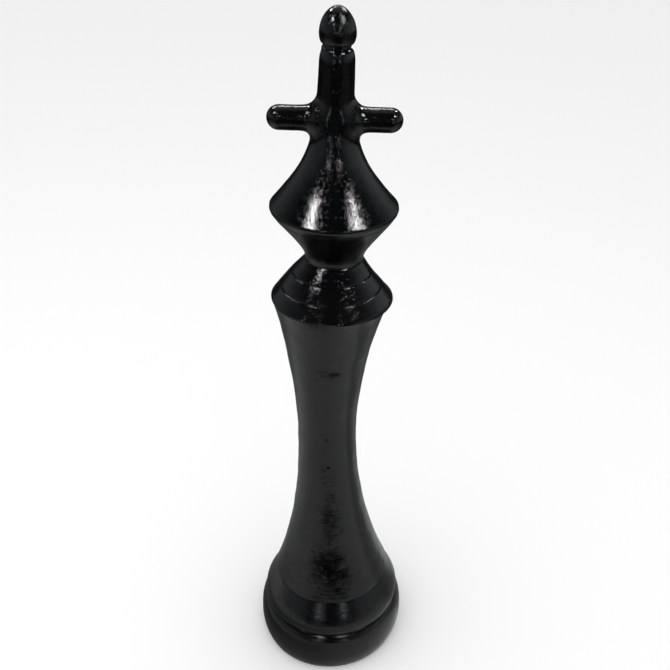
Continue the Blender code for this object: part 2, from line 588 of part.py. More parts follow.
bung = turned("drain_bung", [(0.0, bung_top), (BUNG_RADIUS, bung_top), (BUNG_RADIUS, flange_top),
                             (BUNG_FLANGE_RADIUS, flange_top), (BUNG_FLANGE_RADIUS, flange_bottom),
                             (0.0, flange_bottom)], grey_plastic, SMALL_STEPS)
seal = disc("bung_seal", BUNG_FLANGE_RADIUS, flange_top + FIT, seal_top, rubber, SMALL_STEPS,
            bore=BUNG_RADIUS + FIT)
for piece in (bung, seal):
    piece.location = (drain[0], drain[1], 0.0)
key_slot = block_cutter("bung_key", (BUNG_KEY_LENGTH, BUNG_KEY_WIDTH, 2 * BUNG_KEY_DEPTH),
                        (drain[0], drain[1], flange_bottom))
cut(bung, key_slot)
hang_on(joint_empty("bung_axis", (drain[0], drain[1], flange_bottom)), bung, seal)

# ---- head: inverted cone, bell, spigot with its index pin, bulkhead ------------------------------
SPIGOT_RADIUS = SOCKET_BORE - SPIGOT_CLEARANCE
cone_top = LIP_LEVEL - FIT
cone_outside = bezier((BELL_LIP_RADIUS, cone_top),
                      (NECK_RADIUS + CONE_LIP_PULL_OUT * (BELL_LIP_RADIUS - NECK_RADIUS),
                       JOINT_LEVEL + CONE_LIP_PULL * CONE_HEIGHT),
                      (NECK_RADIUS, JOINT_LEVEL + CONE_FOOT_PULL * CONE_HEIGHT),
                      (NECK_RADIUS, JOINT_LEVEL), 6)
spigot_hole = SPIGOT_RADIUS + FIT
cone_floor = JOINT_LEVEL + WALL
cone_inside = moved_in(stretch(cone_outside, cone_top, cone_floor + WALL), STEEP_WALL)
cone = turned("neck_cone",
              cone_outside + [(spigot_hole, JOINT_LEVEL), (spigot_hole, cone_floor),
                              (NECK_RADIUS - WALL, cone_floor)] + list(reversed(cone_inside)),
              black_gloss)

crown_curve = bezier((CROWN_RADIUS, LIP_LEVEL + CROWN_HEIGHT),
                     (CROWN_RADIUS + CROWN_PULL_OUT, LIP_LEVEL + CROWN_HEIGHT - CROWN_PULL),
                     (BELL_RIM_RADIUS - RIM_PULL_IN, RIM_LEVEL + RIM_PULL),
                     (BELL_RIM_RADIUS - BELL_RIM_SHARPNESS, RIM_LEVEL + BELL_RIM_EDGE), 10)
bell_top = UPRIGHT_LEVEL - FIT
bell_side = stretch(crown_curve, bell_top, RIM_LEVEL + BELL_RIM_EDGE)
bell_inside = moved_in(bell_side, STEEP_WALL)
bell = turned("bell_shell",
              bell_side + [(BELL_RIM_RADIUS, RIM_LEVEL),
                           (BELL_RIM_RADIUS - BELL_RIM_UNDERCUT, RIM_LEVEL - BELL_RIM_EDGE),
                           (BELL_LIP_RADIUS, LIP_LEVEL), (BELL_LIP_RADIUS - RADIAL_WALL, LIP_LEVEL)]
              + list(reversed(bell_inside)),
              black_gloss)

bulkhead_radius = radius_at(cone_outside, HEAD_BULKHEAD_LEVEL) - STEEP_WALL - 2 * FIT
head_bulkhead = disc("head_bulkhead", bulkhead_radius, HEAD_BULKHEAD_LEVEL,
                     HEAD_BULKHEAD_LEVEL + BULKHEAD_THICKNESS, plywood, bore=spigot_hole)
spigot = disc("head_spigot", SPIGOT_RADIUS, SPIGOT_FOOT, HEAD_BULKHEAD_LEVEL + BULKHEAD_THICKNESS,
              grey_plastic, bore=SPIGOT_RADIUS - SPIGOT_WALL)

pin_reach = SOCKET_RADIUS - FIT
index_pin = disc("index_pin", INDEX_PIN_RADIUS, -pin_reach, pin_reach, zinc_steel, SMALL_STEPS)
pin_hole = bore_cutter("index_pin_hole", INDEX_PIN_RADIUS + FIT, -2 * pin_reach, 2 * pin_reach)
for piece in (index_pin, pin_hole):
    piece.rotation_euler = (0.0, math.pi / 2, 0.0)
    piece.location = (0.0, 0.0, PIN_LEVEL)
cut(spigot, pin_hole)

# ---- crown block: glued inside the bell's top, bored for the cross's tenon -----------------------
block_top = bell_top - 2 * FIT
block_foot = block_top - CROWN_BLOCK_HEIGHT
block_side = moved_in(stretch(bell_inside, block_top, block_foot), FIT)
tenon_bore = TENON_RADIUS + FIT
crown_block = turned("crown_block", block_side + [(tenon_bore, block_foot), (tenon_bore, block_top)],
                     plywood)

# ---- cross: upright with a tenon, two arms on a through pin, knob on a stud ----------------------
upright_top = KNOB_LEVEL - FIT
upright_side = [(KNOB_NECK_RADIUS, upright_top),
                (UPRIGHT_TOP_RADIUS - UPRIGHT_SHOULDER_TUCK, upright_top - UPRIGHT_SHOULDER_DROP),
                (UPRIGHT_TOP_RADIUS, upright_top - UPRIGHT_TOP_DROP)]
upright_side += stretch(crown_curve, LIP_LEVEL + CROWN_HEIGHT, UPRIGHT_LEVEL)
upright = turned("cross_upright",
                 [(0.0, upright_top)] + upright_side
                 + [(TENON_RADIUS, UPRIGHT_LEVEL), (TENON_RADIUS, UPRIGHT_LEVEL - TENON_LENGTH),
                    (0.0, UPRIGHT_LEVEL - TENON_LENGTH)],
                 black_gloss)
saddle = turned("arm_saddle",
                [(0.0, upright_top)] + [(radius + FIT, level) for radius, level in upright_side]
                + [(0.0, UPRIGHT_LEVEL)], None, group=cutters)


def arm_outline():
    """Half outline of one arm along its own axis, tip first: round tip, waist, flared root."""
    tip_length = ARM_RADIUS
    tip = [(ARM_RADIUS * math.sin(angle), ARM_REACH - tip_length * (1 - math.cos(angle)))
           for angle in (step * math.pi / 8 for step in range(5))]
    flare_start = ARM_REACH - tip_length - ARM_FLARE_LENGTH
    root = bezier((ARM_RADIUS, flare_start), (ARM_RADIUS, (flare_start + ARM_ROOT_REACH) / 2),
                  (ARM_RADIUS + ARM_FLARE_LEAN, ARM_ROOT_REACH + ARM_FLARE_PULL),
                  (ARM_ROOT_RADIUS, ARM_ROOT_REACH), 4)
    return tip + root + [(ARM_ROOT_RADIUS, ARM_CORE_REACH), (0.0, ARM_CORE_REACH)]


pin_bore = bore_cutter("arm_pin_bore", ARM_PIN_RADIUS + FIT, -ARM_PIN_REACH - 2 * FIT,
                       ARM_PIN_REACH + 2 * FIT)
arm_pin = disc("arm_pin", ARM_PIN_RADIUS, -ARM_PIN_REACH, ARM_PIN_REACH, zinc_steel, SMALL_STEPS)
for piece in (arm_pin, pin_bore):
    piece.rotation_euler = (0.0, math.pi / 2, 0.0)
    piece.location = (0.0, 0.0, ARM_AXIS_LEVEL)
arms = []
for side, name in ((1, "cross_arm_right"), (-1, "cross_arm_left")):
    arm = turned(name, arm_outline(), black_gloss, SMALL_STEPS)
    arm.rotation_euler = (0.0, side * math.pi / 2, 0.0)
    arm.location = (0.0, 0.0, ARM_AXIS_LEVEL)
    cut(arm, saddle)
    cut(arm, pin_bore)
    arms.append(arm)
cut(upright, pin_bore)

knob_neck_top = KNOB_LEVEL + KNOB_NECK_HEIGHT
knob_swell = knob_neck_top + KNOB_SWELL_HEIGHT
KNOB_RINGS = 6
knob_crown = [(KNOB_RADIUS * (1 - (1 - step / KNOB_RINGS) ** KNOB_SQUARENESS) ** KNOB_BLUNTNESS,
               knob_swell + KNOB_CROWN_HEIGHT * (1 - step / KNOB_RINGS)) for step in range(KNOB_RINGS)]
knob_under = [(KNOB_NECK_RADIUS + (KNOB_RADIUS - KNOB_NECK_RADIUS) * math.cos(angle),
               knob_swell - KNOB_SWELL_HEIGHT * math.sin(angle))
              for angle in (step * math.pi / 8 for step in range(5))]
knob = turned("finial_knob", knob_crown + knob_under + [(KNOB_NECK_RADIUS, KNOB_LEVEL), (0.0, KNOB_LEVEL)],
              black_gloss, KNOB_STEPS)
stud_middle = (upright_top + KNOB_LEVEL) / 2
stud = disc("finial_stud", STUD_RADIUS, stud_middle - STUD_LENGTH / 2, stud_middle + STUD_LENGTH / 2,
            zinc_steel, SMALL_STEPS)
stud_bore = bore_cutter("stud_bore", STUD_RADIUS + FIT, stud_middle - STUD_LENGTH / 2 - FIT,
                        stud_middle + STUD_LENGTH / 2 + FIT)
cut(upright, stud_bore)
cut(knob, stud_bore)

hang_on(joint_empty("head_axis", (0.0, 0.0, JOINT_LEVEL)), cone, bell, head_bulkhead, spigot, index_pin,
        crown_block, upright, *arms, arm_pin, knob, stud)
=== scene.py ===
import math

import bpy
import numpy as np
from mathutils import Matrix, Vector, noise


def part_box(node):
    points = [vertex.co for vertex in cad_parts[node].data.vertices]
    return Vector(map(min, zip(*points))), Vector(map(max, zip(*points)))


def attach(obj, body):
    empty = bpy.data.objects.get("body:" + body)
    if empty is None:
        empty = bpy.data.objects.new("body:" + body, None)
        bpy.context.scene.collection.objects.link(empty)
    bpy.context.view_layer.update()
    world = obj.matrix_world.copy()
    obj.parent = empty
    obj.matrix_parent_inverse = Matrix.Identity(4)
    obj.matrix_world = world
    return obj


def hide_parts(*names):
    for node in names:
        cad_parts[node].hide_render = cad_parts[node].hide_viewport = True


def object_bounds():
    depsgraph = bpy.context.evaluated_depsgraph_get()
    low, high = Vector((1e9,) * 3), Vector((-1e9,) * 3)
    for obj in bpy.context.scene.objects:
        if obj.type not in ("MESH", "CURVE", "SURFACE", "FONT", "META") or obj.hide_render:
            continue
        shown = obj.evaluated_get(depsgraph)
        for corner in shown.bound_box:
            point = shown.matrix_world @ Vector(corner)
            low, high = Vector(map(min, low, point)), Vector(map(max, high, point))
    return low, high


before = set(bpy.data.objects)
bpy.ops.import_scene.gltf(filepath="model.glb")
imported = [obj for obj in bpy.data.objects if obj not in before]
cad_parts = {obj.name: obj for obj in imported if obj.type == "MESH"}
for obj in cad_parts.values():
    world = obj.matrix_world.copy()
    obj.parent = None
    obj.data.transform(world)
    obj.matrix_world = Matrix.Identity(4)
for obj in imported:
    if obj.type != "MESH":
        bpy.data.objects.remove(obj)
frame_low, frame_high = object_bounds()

# ==== plinth ======================================================================================
# The round foot of the piece: one glass-fibre moulding, laid up by hand and sprayed thick with gloss
# black. It is hollow, open below, and its upstand carries the bead ring.


def curve(start, pull_start, pull_end, end, steps=14):
    """Points along a cubic curve, both ends included."""
    points = []
    for step in range(steps + 1):
        t = step / steps
        weights = ((1 - t) ** 3, 3 * t * (1 - t) ** 2, 3 * t * t * (1 - t), t ** 3)
        pulls = (start, pull_start, pull_end, end)
        points.append(tuple(sum(w * p[axis] for w, p in zip(weights, pulls)) for axis in (0, 1)))
    return points


def soften(outline, radius, closed=True, steps=4):
    """Round every sharp corner of an outline; the gentle turns of a curve stay as they are."""
    rounded = []
    count = len(outline)
    for index, corner in enumerate(outline):
        here = Vector(corner)
        before = Vector(outline[index - 1]) - here
        after = Vector(outline[(index + 1) % count]) - here
        at_end = not closed and index in (0, count - 1)
        if at_end or before.length < 1e-7 or after.length < 1e-7 or before.angle(after) > 2.75:
            rounded.append(tuple(here))
            continue
        cut = min(radius, 0.45 * before.length, 0.45 * after.length)
        first = here + before.normalized() * cut
        last = here + after.normalized() * cut
        for step in range(steps + 1):
            t = step / steps
            rounded.append(tuple(first * (1 - t) ** 2 + here * 2 * t * (1 - t) + last * t * t))
    return rounded


def spread(outline, spacing, closed=True):
    """Split the long stretches of an outline so that no two points are further apart than spacing."""
    ends = outline[1:] + outline[:1] if closed else outline[1:]
    points = []
    for (r0, z0), (r1, z1) in zip(outline, ends):
        pieces = max(1, math.ceil(math.hypot(r1 - r0, z1 - z0) / spacing))
        points += [(r0 + (r1 - r0) * k / pieces, z0 + (z1 - z0) * k / pieces) for k in range(pieces)]
    return points if closed else points + [outline[-1]]


def new_piece(name, vertices, faces):
    """A smooth-shaded mesh object in the scene."""
    mesh = bpy.data.meshes.new(name)
    mesh.from_pydata(vertices, [], faces)
    mesh.validate()
    mesh.shade_smooth()
    piece = bpy.data.objects.new(name, mesh)
    bpy.context.scene.collection.objects.link(piece)
    return piece


def turned(name, outline, around=256, closed=True):
    """Turn an outline about Z. It runs down its outer side; an open one ends on the axis."""
    angles = [2 * math.pi * k / around for k in range(around)]
    vertices = []
    rings = []
    for radius, level in outline:
        if radius < 1e-6:
            rings.append([len(vertices)] * around)
            vertices.append((0.0, 0.0, level))
        else:
            rings.append(list(range(len(vertices), len(vertices) + around)))
            vertices += [(radius * math.cos(a), radius * math.sin(a), level) for a in angles]
    pairs = list(zip(rings, rings[1:] + rings[:1] if closed else rings[1:]))
    faces = []
    for upper, lower in pairs:
        for k in range(around):
            corners = (upper[k], lower[k], lower[(k + 1) % around], upper[(k + 1) % around])
            faces.append(tuple(dict.fromkeys(corners)))
    return new_piece(name, vertices, faces)


def uneven(piece, swell, ripple, free, dents=(), inwards=0.0):
    """Give a skin the unevenness of a hand-finished moulding.

    swell and ripple are the heights of the broad and the fine unevenness; free(places) is 1 where
    the skin is free and 0 where it mates; dents are (place, width, height, depth); inwards moves
    the whole free skin in by a share of its unevenness."""
    mesh = piece.data
    count = len(mesh.vertices)
    places = np.empty(count * 3)
    mesh.vertices.foreach_get("co", places)
    places = places.reshape(-1, 3)
    normals = np.empty(count * 3)
    mesh.vertex_normals.foreach_get("vector", normals)
    normals = normals.reshape(-1, 3)
    depth = np.empty(count)
    for index, place in enumerate(places):
        spot = Vector(place)
        broad = noise.noise(spot * 17.0) + 0.45 * noise.noise(spot * 41.0 + Vector((3.1, 7.7, 1.9)))
        fine = noise.noise(spot * 95.0) + 0.5 * noise.noise(spot * 210.0 + Vector((5.3, 2.2, 8.1)))
        depth[index] = swell * (broad - inwards) + ripple * (fine - inwards)
    for centre, width, height, sink in dents:
        away = places - np.array(centre)
        level = away[:, 2] / height
        side = np.hypot(away[:, 0], away[:, 1]) / width
        depth -= sink * np.exp(-(level ** 2 + side ** 2))
    places += normals * (depth * free(places))[:, None]
    places[:, 0] += drift(places[:, 2]) * free(places)
    mesh.vertices.foreach_set("co", places.ravel())
    mesh.update()


def drift(level):
    """Sideways place of the piece's middle at a level: the column bows left, the head leans back."""
    levels, shifts = DRIFT.T
    slopes = np.gradient(shifts, levels)
    step = np.clip(np.searchsorted(levels, level) - 1, 0, len(levels) - 2)
    span = levels[step + 1] - levels[step]
    t = np.clip((level - levels[step]) / span, 0, 1)
    return (shifts[step] * (1 + 2 * t) * (1 - t) ** 2 + shifts[step + 1] * t * t * (3 - 2 * t)
            + span * t * (1 - t) * (slopes[step] * (1 - t) - slopes[step + 1] * t))


DRIFT = np.array([
    (0.0, 0.0), (0.075, 0.0), (0.15, 0.0), (0.24, -0.0035), (0.33, -0.0062), (0.41, -0.0090),
    (0.50, -0.0101), (0.59, -0.0096), (0.66, -0.0088), (0.72, -0.0062), (0.76, -0.0042),
    (0.80, -0.0042), (0.829, -0.0003), (0.87, 0.0010), (0.91, -0.0004), (0.96, -0.0010),
    (1.03, -0.0006), (1.10, 0.0008), (1.15, 0.0022), (1.20, 0.0028)])


class Wire:
    """A socket in a material's node tree; plain arithmetic on it adds Math nodes."""

    def __init__(self, tree, socket=None):
        self.tree = tree
        self.socket = socket

    def node(self, kind, settings, inputs, output=0):
        """Add any node: its settings first, then the values or wires of its sockets."""
        added = self.tree.nodes.new("ShaderNode" + kind)
        stops = settings.pop("stops", None)
        for name, value in settings.items():
            setattr(added, name, value)
        if stops:
            ramp = added.color_ramp.elements
            while len(ramp) < len(stops):
                ramp.new(0.5)
            for element, (position, colour) in zip(ramp, stops):
                element.position = position
                element.color = (*colour, 1.0)
        for name, value in inputs.items():
            if isinstance(value, Wire):
                self.tree.links.new(value.socket, added.inputs[name])
            else:
                added.inputs[name].default_value = value
        return None if output is None else Wire(self.tree, added.outputs[output])

    def maths(self, operation, first, second=0.0):
        return self.node("Math", {"operation": operation}, {0: first, 1: second})

    def __add__(self, other):
        return self.maths("ADD", self, other)

    def __sub__(self, other):
        return self.maths("SUBTRACT", self, other)

    def __rsub__(self, other):
        return self.maths("SUBTRACT", other, self)

    def __mul__(self, other):
        return self.maths("MULTIPLY", self, other)

    __radd__ = __add__
    __rmul__ = __mul__

    def between(self, low, high):
        """0 below low, 1 above high, smooth in between."""
        return self.node("MapRange", {"interpolation_type": "SMOOTHSTEP"},
                         {"Value": self, "From Min": low, "From Max": high})


def new_finish(name):
    """A material with a bare Principled shader: the material, the shader and a wire of its places."""
    finish = bpy.data.materials.new(name)
    finish.use_nodes = True
    tree = finish.node_tree
    shader = tree.nodes["Principled BSDF"]
    place = Wire(tree).node("TexCoord", {}, {}, "Object")
    return finish, shader, place


def grain(place, scale, detail=2.0, roughness=0.5, distortion=0.0):
    """Even noise of about 0 to 1 in wires of places."""
    return place.node("TexNoise", {}, {"Vector": place, "Scale": scale, "Detail": detail,
                                       "Roughness": roughness, "Distortion": distortion}, "Fac")


def stretched(place, x, y, z):
    """Places scaled on each axis, for grain with a direction."""
    return place.node("VectorMath", {"operation": "MULTIPLY"}, {0: place, 1: (x, y, z)})


def blended(amount, first, second):
    """A colour between two colours or wires."""
    return amount.node("Mix", {"data_type": "RGBA"}, {0: amount, 6: first, 7: second}, 2)


def plug(shader, **sockets):
    """Set or wire the shader's sockets; underscores stand for spaces."""
    for name, value in sockets.items():
        socket = shader.inputs[name.replace("_", " ")]
        if isinstance(value, Wire):
            value.tree.links.new(value.socket, socket)
        else:
            socket.default_value = value


def bumped(height):
    """A normal from a wire of heights in metres."""
    return height.node("Bump", {}, {"Height": height, "Distance": 1.0, "Strength": 1.0})


def gloss_paint(name, peel=0.00022, pits=0.00010, brush=0.0, patches=()):
    """Thick sprayed gloss black: orange peel, pinholes, brush lines and dull, dusty patches.

    patches are (place, width, height, depth, share) of wrinkled spots where the gloss has gone and
    their reflection is painted dark."""
    finish, shader, place = new_finish(name)
    cloudy = grain(place, 9.0, 4.0, 0.6)
    mottle = grain(place, 60.0, 3.0, 0.6)
    shell = grain(place, 460.0, 2.0, 0.6)
    coarse = grain(place, 120.0, 3.0, 0.6)
    pocks = place.node("TexVoronoi", {"feature": "F1"}, {"Vector": place, "Scale": 420.0}, "Distance")
    strokes = grain(stretched(place, 14.0, 14.0, 260.0), 1.0, 3.0, 0.55)
    height = coarse * (peel * 1.3) + shell * peel + strokes * brush
    height = height + (1 - pocks.between(0.0, 0.42)) * -pits
    tone = cloudy.between(0.35, 0.75)
    colour = blended(tone, (0.0008, 0.0009, 0.0010, 1.0), (0.0022, 0.0024, 0.0023, 1.0))
    colour = blended(mottle.between(0.56, 0.80) * 0.5, colour, (0.005, 0.005, 0.0048, 1.0))
    dull = 0.035 + tone * 0.05 + mottle.between(0.5, 0.8) * 0.05
    dull_and_shaded = tone * 0.0
    for centre, width, tall, depth, share in patches:
        away = place.node("VectorMath", {"operation": "SUBTRACT"}, {0: place, 1: centre})
        away = stretched(away, 1 / width, 1 / width, 1 / tall)
        reach = away.node("VectorMath", {"operation": "LENGTH"}, {0: away}, "Value")
        ragged = reach + (grain(place, 1.6 / width, 4.0, 0.65) - 0.5) * 1.6
        mask = 1 - ragged.between(0.20, 1.10)
        height = height + mask * coarse * depth
        dull_and_shaded = dull_and_shaded.maths("MAXIMUM", dull_and_shaded, mask * coarse.between(0.30, 0.55) * share)
    # A metallic share over the near-black base paints the patches' reflection dark; the rougher finish
    # there is the dull paint.
    plug(shader, Base_Color=colour, Roughness=dull + dull_and_shaded * 0.10, Metallic=dull_and_shaded * 0.85,
         IOR=1.5, Normal=bumped(height))
    return finish


def dress(piece, finish, body, slot, *nodes):
    """Give a piece its finish and body, and hide the nodes it stands for; slot is not used."""
    piece.data.materials.clear()
    piece.data.materials.append(finish)
    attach(piece, body)
    if nodes:
        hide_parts(*nodes)


WALL = 0.0055
THIN_WALL = 0.005
UPSTAND_HEIGHT = 0.008
LANDING = 0.0105
GROOVE_INSET = 0.0165
EDGE_TUCK = 0.0024
EDGE_HEIGHT = 0.063
BELLY_HEIGHT = 0.034
FOOT_TUCK = 0.0065
plinth_low, plinth_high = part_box("plinth_shell")
plinth_radius = plinth_high.x
plinth_foot = plinth_low.z
plinth_top = plinth_high.z - UPSTAND_HEIGHT
plinth_edge = (plinth_radius - EDGE_TUCK, plinth_foot + EDGE_HEIGHT)
plinth_belly = (plinth_radius, plinth_foot + BELLY_HEIGHT)
groove_radius = plinth_radius - GROOVE_INSET
upstand_radius = groove_radius - LANDING
plinth_side = curve(plinth_edge, (plinth_radius - 0.0003, plinth_foot + 0.055),
                    (plinth_radius, plinth_foot + 0.044), plinth_belly, 8)
plinth_side += curve(plinth_belly, (plinth_radius, plinth_foot + 0.0178),
                     (plinth_radius - 0.004, plinth_foot + 0.005),
                     (plinth_radius - FOOT_TUCK, plinth_foot))[1:]
plinth_outside = [(upstand_radius, plinth_high.z), (upstand_radius, plinth_top)]
plinth_outside += curve((groove_radius, plinth_top), (groove_radius + 0.0056, plinth_top - 0.002),
                        (plinth_edge[0] - 0.0018, plinth_edge[1] + 0.009), plinth_edge)
plinth_outside += plinth_side[1:]
plinth_inside = [(radius - WALL, level) for radius, level in reversed(plinth_side)]
plinth_inside += [(groove_radius - 0.003, plinth_top - THIN_WALL),
                  (upstand_radius - THIN_WALL, plinth_top - THIN_WALL),
                  (upstand_radius - THIN_WALL, plinth_high.z)]
SHELL_SPACING = 0.0022
plinth = turned("plinth_skin", spread(soften(plinth_outside + plinth_inside, 0.0012), SHELL_SPACING))


def free_above(level, fade=0.002, reach=None):
    """1 on the outer side above a level, fading to 0 at it; reach is a least radius."""
    def weight(places):
        amount = np.clip((places[:, 2] - level) / fade, 0, 1)
        if reach is not None:
            amount *= np.clip((np.hypot(places[:, 0], places[:, 1]) - reach) / fade, 0, 1)
        return amount
    return weight


SKIN_DEPTH = 0.030
uneven(plinth, swell=0.00045, ripple=0.00010, inwards=1.0,
       free=free_above(plinth_foot, reach=plinth_radius - SKIN_DEPTH))
dress(plinth, gloss_paint("plinth_paint"), "body", "black_gloss_paint", "plinth_shell")

# ==== base board, its ring, screws and pad ========================================================
# Birch plywood closes the plinth from below. A second plywood ring is bonded inside the shell and
# takes six wood screws; a black rubber pad is glued over the board so the piece does not slide.


def plywood_finish():
    finish, shader, place = new_finish("birch_plywood")
    layers = place.node("SeparateXYZ", {}, {"Vector": place}, "Z") * 620.0 + grain(place, 14.0) * 0.5
    ply = layers.maths("FRACT", layers).between(0.35, 0.65)
    fibres = grain(stretched(place, 420.0, 26.0, 300.0), 1.0, 4.0, 0.6, 0.4)
    pores = grain(stretched(place, 900.0, 60.0, 900.0), 1.0, 2.0)
    wood = blended(fibres, (0.36, 0.22, 0.10, 1.0), (0.62, 0.45, 0.26, 1.0))
    wood = blended(ply * 0.55, wood, (0.24, 0.13, 0.06, 1.0))
    wood = blended(pores.between(0.62, 0.75), wood, (0.16, 0.09, 0.045, 1.0))
    plug(shader, Base_Color=wood, Roughness=0.62 + fibres * 0.22,
         Normal=bumped(fibres * 0.00018 + pores * 0.00008))
    return finish


plywood = plywood_finish()


def rubber_finish():
    finish, shader, place = new_finish("moulded_rubber")
    speckle = grain(place, 900.0, 2.0)
    wear = grain(place, 24.0, 4.0, 0.6).between(0.45, 0.75)
    colour = blended(wear, (0.013, 0.013, 0.014, 1.0), (0.045, 0.043, 0.040, 1.0))
    plug(shader, Base_Color=colour, Roughness=0.66 + wear * 0.2 - speckle * 0.06,
         Normal=bumped(speckle * 0.00012))
    return finish


rubber = rubber_finish()


def zinc_finish():
    finish, shader, place = new_finish("zinc_plated_steel")
    drawn = grain(stretched(place, 700.0, 700.0, 90.0), 1.0, 3.0)
    bloom = grain(place, 70.0, 4.0, 0.6).between(0.4, 0.75)
    colour = blended(bloom, (0.66, 0.67, 0.69, 1.0), (0.50, 0.52, 0.50, 1.0))
    plug(shader, Base_Color=colour, Metallic=1.0, Roughness=0.24 + drawn * 0.14 + bloom * 0.12,
         Normal=bumped(drawn * 0.00005))
    return finish


zinc_steel = zinc_finish()


def coat(finish, *nodes):
    """Give carried-over parts a finish."""
    for node in nodes:
        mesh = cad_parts[node].data
        mesh.materials.clear()
        mesh.materials.append(finish)


coat(plywood, "base_board", "base_ring")
coat(rubber, "base_pad")
coat(zinc_steel, *["base_screw_%d" % number for number in range(1, 7)])

# ==== ballast, tie rod and drain bung =============================================================
# A cast concrete ring loads the board. One zinc-plated rod with a nut and washer at each end clamps
# the whole stack, and a grey plastic bung with a rubber seal screws up into the board.


def concrete_finish():
    finish, shader, place = new_finish("cast_concrete")
    sand = grain(place, 1100.0, 3.0, 0.6)
    stain = grain(place, 28.0, 5.0, 0.62).between(0.35, 0.7)
    holes = place.node("TexVoronoi", {"feature": "F1"}, {"Vector": place, "Scale": 190.0}, "Distance")
    # The pits sink in the bump and are darkened in colour too: painted shade in the pits.
    shaded_pits = 1 - holes.between(0.05, 0.22)
    colour = blended(stain, (0.36, 0.355, 0.34, 1.0), (0.54, 0.53, 0.50, 1.0))
    colour = blended(shaded_pits * 0.6, colour, (0.20, 0.195, 0.185, 1.0))
    plug(shader, Base_Color=colour, Roughness=0.82 + sand * 0.12,
         Normal=bumped(sand * 0.00025 + shaded_pits * -0.0009))
    return finish


def plastic_finish():
    finish, shader, place = new_finish("grey_plastic")
    scuffs = grain(stretched(place, 60.0, 60.0, 900.0), 1.0, 4.0, 0.6)
    cloud = grain(place, 30.0, 3.0)
    colour = blended(cloud, (0.20, 0.21, 0.22, 1.0), (0.29, 0.30, 0.31, 1.0))
    plug(shader, Base_Color=colour, Roughness=0.36 + scuffs * 0.2,
         Normal=bumped(scuffs * 0.00006))
    return finish


grey_plastic = plastic_finish()
coat(concrete_finish(), "ballast_disc")
coat(zinc_steel, "tie_rod", "tie_nut_lower", "tie_nut_upper", "tie_washer_lower", "tie_washer_upper")
coat(grey_plastic, "drain_bung")
coat(rubber, "bung_seal")

# ==== bead ring ===================================================================================
# A second moulding: a half-round below and a slope above. Its foot turns in round the plinth's
# upstand, which leaves the dark groove between the two.
SLOPE_TUCK = 0.0244
BEAD_EDGE_TUCK = 0.0084
BEAD_EDGE_HEIGHT = 0.035
BEAD_SWELL_HEIGHT = 0.010
FIT = 0.0003
bead_low, bead_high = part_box("bead_ring")
bead_radius = bead_high.x
bead_top_radius = bead_radius - SLOPE_TUCK
bead_edge = (bead_radius - BEAD_EDGE_TUCK, bead_low.z + BEAD_EDGE_HEIGHT)
bead_swell = (bead_radius, bead_low.z + BEAD_SWELL_HEIGHT)
bead_side = curve(bead_edge, (bead_edge[0] + 0.0045, bead_edge[1] - 0.009),
                  (bead_radius, bead_swell[1] + 0.009), bead_swell)
bead_side += curve(bead_swell, (bead_radius, bead_low.z + 0.003),
                   (bead_radius - 0.002, bead_low.z), (bead_radius - 0.0059, bead_low.z))[1:]
bead_bore = upstand_radius + FIT
bead_outline = [(bead_top_radius, bead_high.z)] + bead_side
bead_outline += [(bead_bore, bead_low.z), (bead_bore, bead_low.z + THIN_WALL),
                 (bead_radius - WALL, bead_low.z + 0.0075),
                 (bead_radius - WALL, bead_swell[1] + THIN_WALL),
                 (bead_edge[0] - WALL, bead_edge[1]), (bead_top_radius - WALL, bead_high.z)]
bead = turned("bead_skin", spread(soften(bead_outline, 0.0010), SHELL_SPACING))
uneven(bead, swell=0.00040, ripple=0.00010, free=free_above(bead_low.z, reach=bead_bore + 0.002))
dress(bead, gloss_paint("bead_paint"), "body", "black_gloss_paint", "bead_ring")

# ==== column ======================================================================================
# Two half mouldings joined front to back over laminate strips; the seam is filled and painted over.
# The column came out of its mould with a bow to the left, and the lay-up left dents and wrinkles.
LIP_HEIGHT = 0.005
LIP_RADIUS = 0.1066
WAIST_HEIGHT = 0.342
WAIST_RADIUS = 0.0506
MOUTH_RADIUS = 0.0908
LOWER_FLARE_POWER = 2.15
UPPER_FLARE_POWER = 1.70
RIM_FLARE = 0.0024
RIM_FLARE_POWER = 12
column_low, column_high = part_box("column_front")
column_foot = column_low.z
column_top = column_high.z
lip_level = column_foot + LIP_HEIGHT
waist_level = column_foot + WAIST_HEIGHT


def column_radius(level):
    """Outer radius of the column: a waist with a flare each way."""
    if level > waist_level:
        rise = (level - waist_level) / (column_top - waist_level)
        flare = (MOUTH_RADIUS - WAIST_RADIUS) * rise ** UPPER_FLARE_POWER
        return WAIST_RADIUS + flare + RIM_FLARE * rise ** RIM_FLARE_POWER
    drop = min(1.0, (waist_level - level) / (waist_level - lip_level))
    return WAIST_RADIUS + (LIP_RADIUS - WAIST_RADIUS) * drop ** LOWER_FLARE_POWER


COLUMN_RINGS = 240
column_span = lip_level - column_top
column_levels = [column_top + column_span * k / COLUMN_RINGS for k in range(COLUMN_RINGS + 1)]
column_outside = [(column_radius(level), level) for level in column_levels]
column_outside.append((bead_top_radius, column_foot))
column_inside = [(radius - WALL, level) for radius, level in column_outside[::6]]
column_inside.append((bead_top_radius - WALL, column_foot))
column_outline = spread(soften(column_outside + column_inside[::-1], 0.0008), 0.016)
column = turned("column_skin", column_outline)


def on_column(degrees, level):
    """A place on the column's side, at an angle from the front towards the right arm."""
    turn = math.radians(degrees)
    radius = column_radius(level)
    return (radius * math.sin(turn), -radius * math.cos(turn), level)


